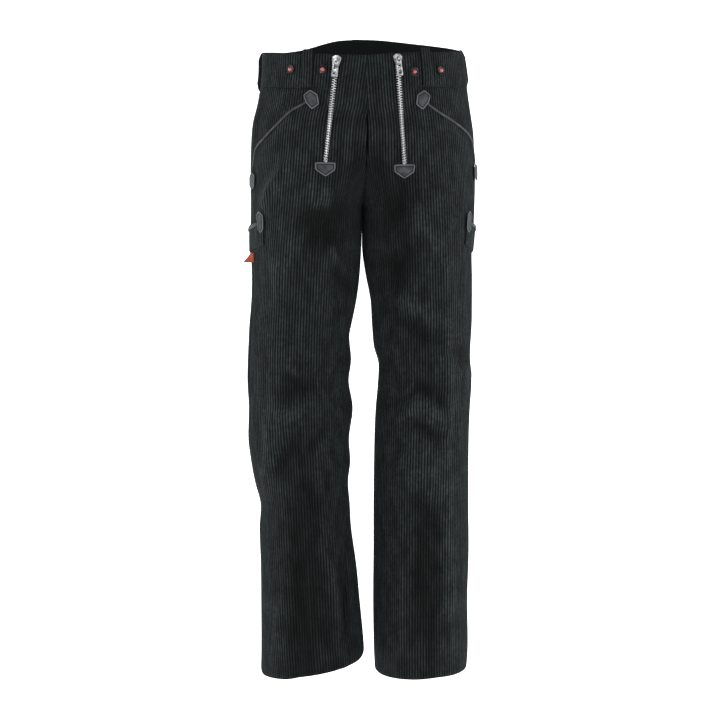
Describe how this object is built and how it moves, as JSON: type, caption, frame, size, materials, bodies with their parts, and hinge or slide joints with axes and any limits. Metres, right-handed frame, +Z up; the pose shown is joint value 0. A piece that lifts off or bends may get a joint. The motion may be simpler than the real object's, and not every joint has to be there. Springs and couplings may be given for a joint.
{
  "type": "work trousers",
  "caption": "Wide-wale corduroy work trousers, filled out and empty, with a zipped front flap, slanted leather-piped pockets and rule pockets on the thighs.",
  "frame": {"origin": "centre of the waistband ring, halfway up the band, where the wearer's waist holds the trousers", "axes": "+Z up; -Y out of the wearer's front; +X towards the wearer's left"},
  "size_m": [0.3931, 0.2665, 1.0882],
  "materials": {
    "corduroy": "black wide-wale cotton corduroy with a soft grey sheen on the wales",
    "leather": "dark grey leather, slightly polished",
    "zip_tape": "black woven tape",
    "zip_metal": "bright nickel-plated metal",
    "button_metal": "dark metal ring round a red centre",
    "tag_cloth": "plain red woven ribbon"
  },
  "bodies": {
    "trousers": {"front_right": "corduroy", "front_left": "corduroy", "back_right": "corduroy", "back_left": "corduroy", "waistband_right": "corduroy", "waistband_left": "corduroy", "pocket_facing_right": "corduroy", "pocket_facing_left": "corduroy", "rule_pocket_right": "corduroy", "rule_pocket_left": "corduroy", "belt_loop_front_right": "corduroy", "belt_loop_front_left": "corduroy", "belt_loop_side_right": "corduroy", "belt_loop_side_left": "corduroy", "belt_loop_back": "corduroy", "pocket_piping_right": "leather", "pocket_piping_left": "leather", "pocket_front_tab_right": "leather", "pocket_front_tab_left": "leather", "pocket_side_tab_right": "leather", "pocket_side_tab_left": "leather", "rule_binding_right": "leather", "rule_binding_left": "leather", "rule_corner_front_right": "leather", "rule_corner_front_left": "leather", "rule_corner_back_right": "leather", "rule_corner_back_left": "leather", "zip_end_tab_right": "leather", "zip_end_tab_left": "leather", "zip_tape_right": "zip_tape", "zip_tape_left": "zip_tape", "zip_chain_right": "zip_metal", "zip_chain_left": "zip_metal", "zip_slider_right": "zip_metal", "zip_slider_left": "zip_metal", "button_outer_right": "button_metal", "button_inner_right": "button_metal", "button_inner_left": "button_metal", "button_outer_left": "button_metal", "side_tag": "tag_cloth"},
    "pull_right": {"zip_pull_right": "zip_metal"},
    "pull_left": {"zip_pull_left": "zip_metal"}
  },
  "joints": [
    {"name": "pull_right_swing", "type": "hinge", "parent": "trousers", "child": "pull_right", "pos_m": [-0.0495, -0.11434, 0.00688], "axis": [-0.9713, 0.2135, 0.105], "range_deg": [0, 165]},
    {"name": "pull_left_swing", "type": "hinge", "parent": "trousers", "child": "pull_left", "pos_m": [0.05109, -0.11412, 0.00992], "axis": [-0.9742, -0.2057, -0.0924], "range_deg": [0, 165]}
  ]
}
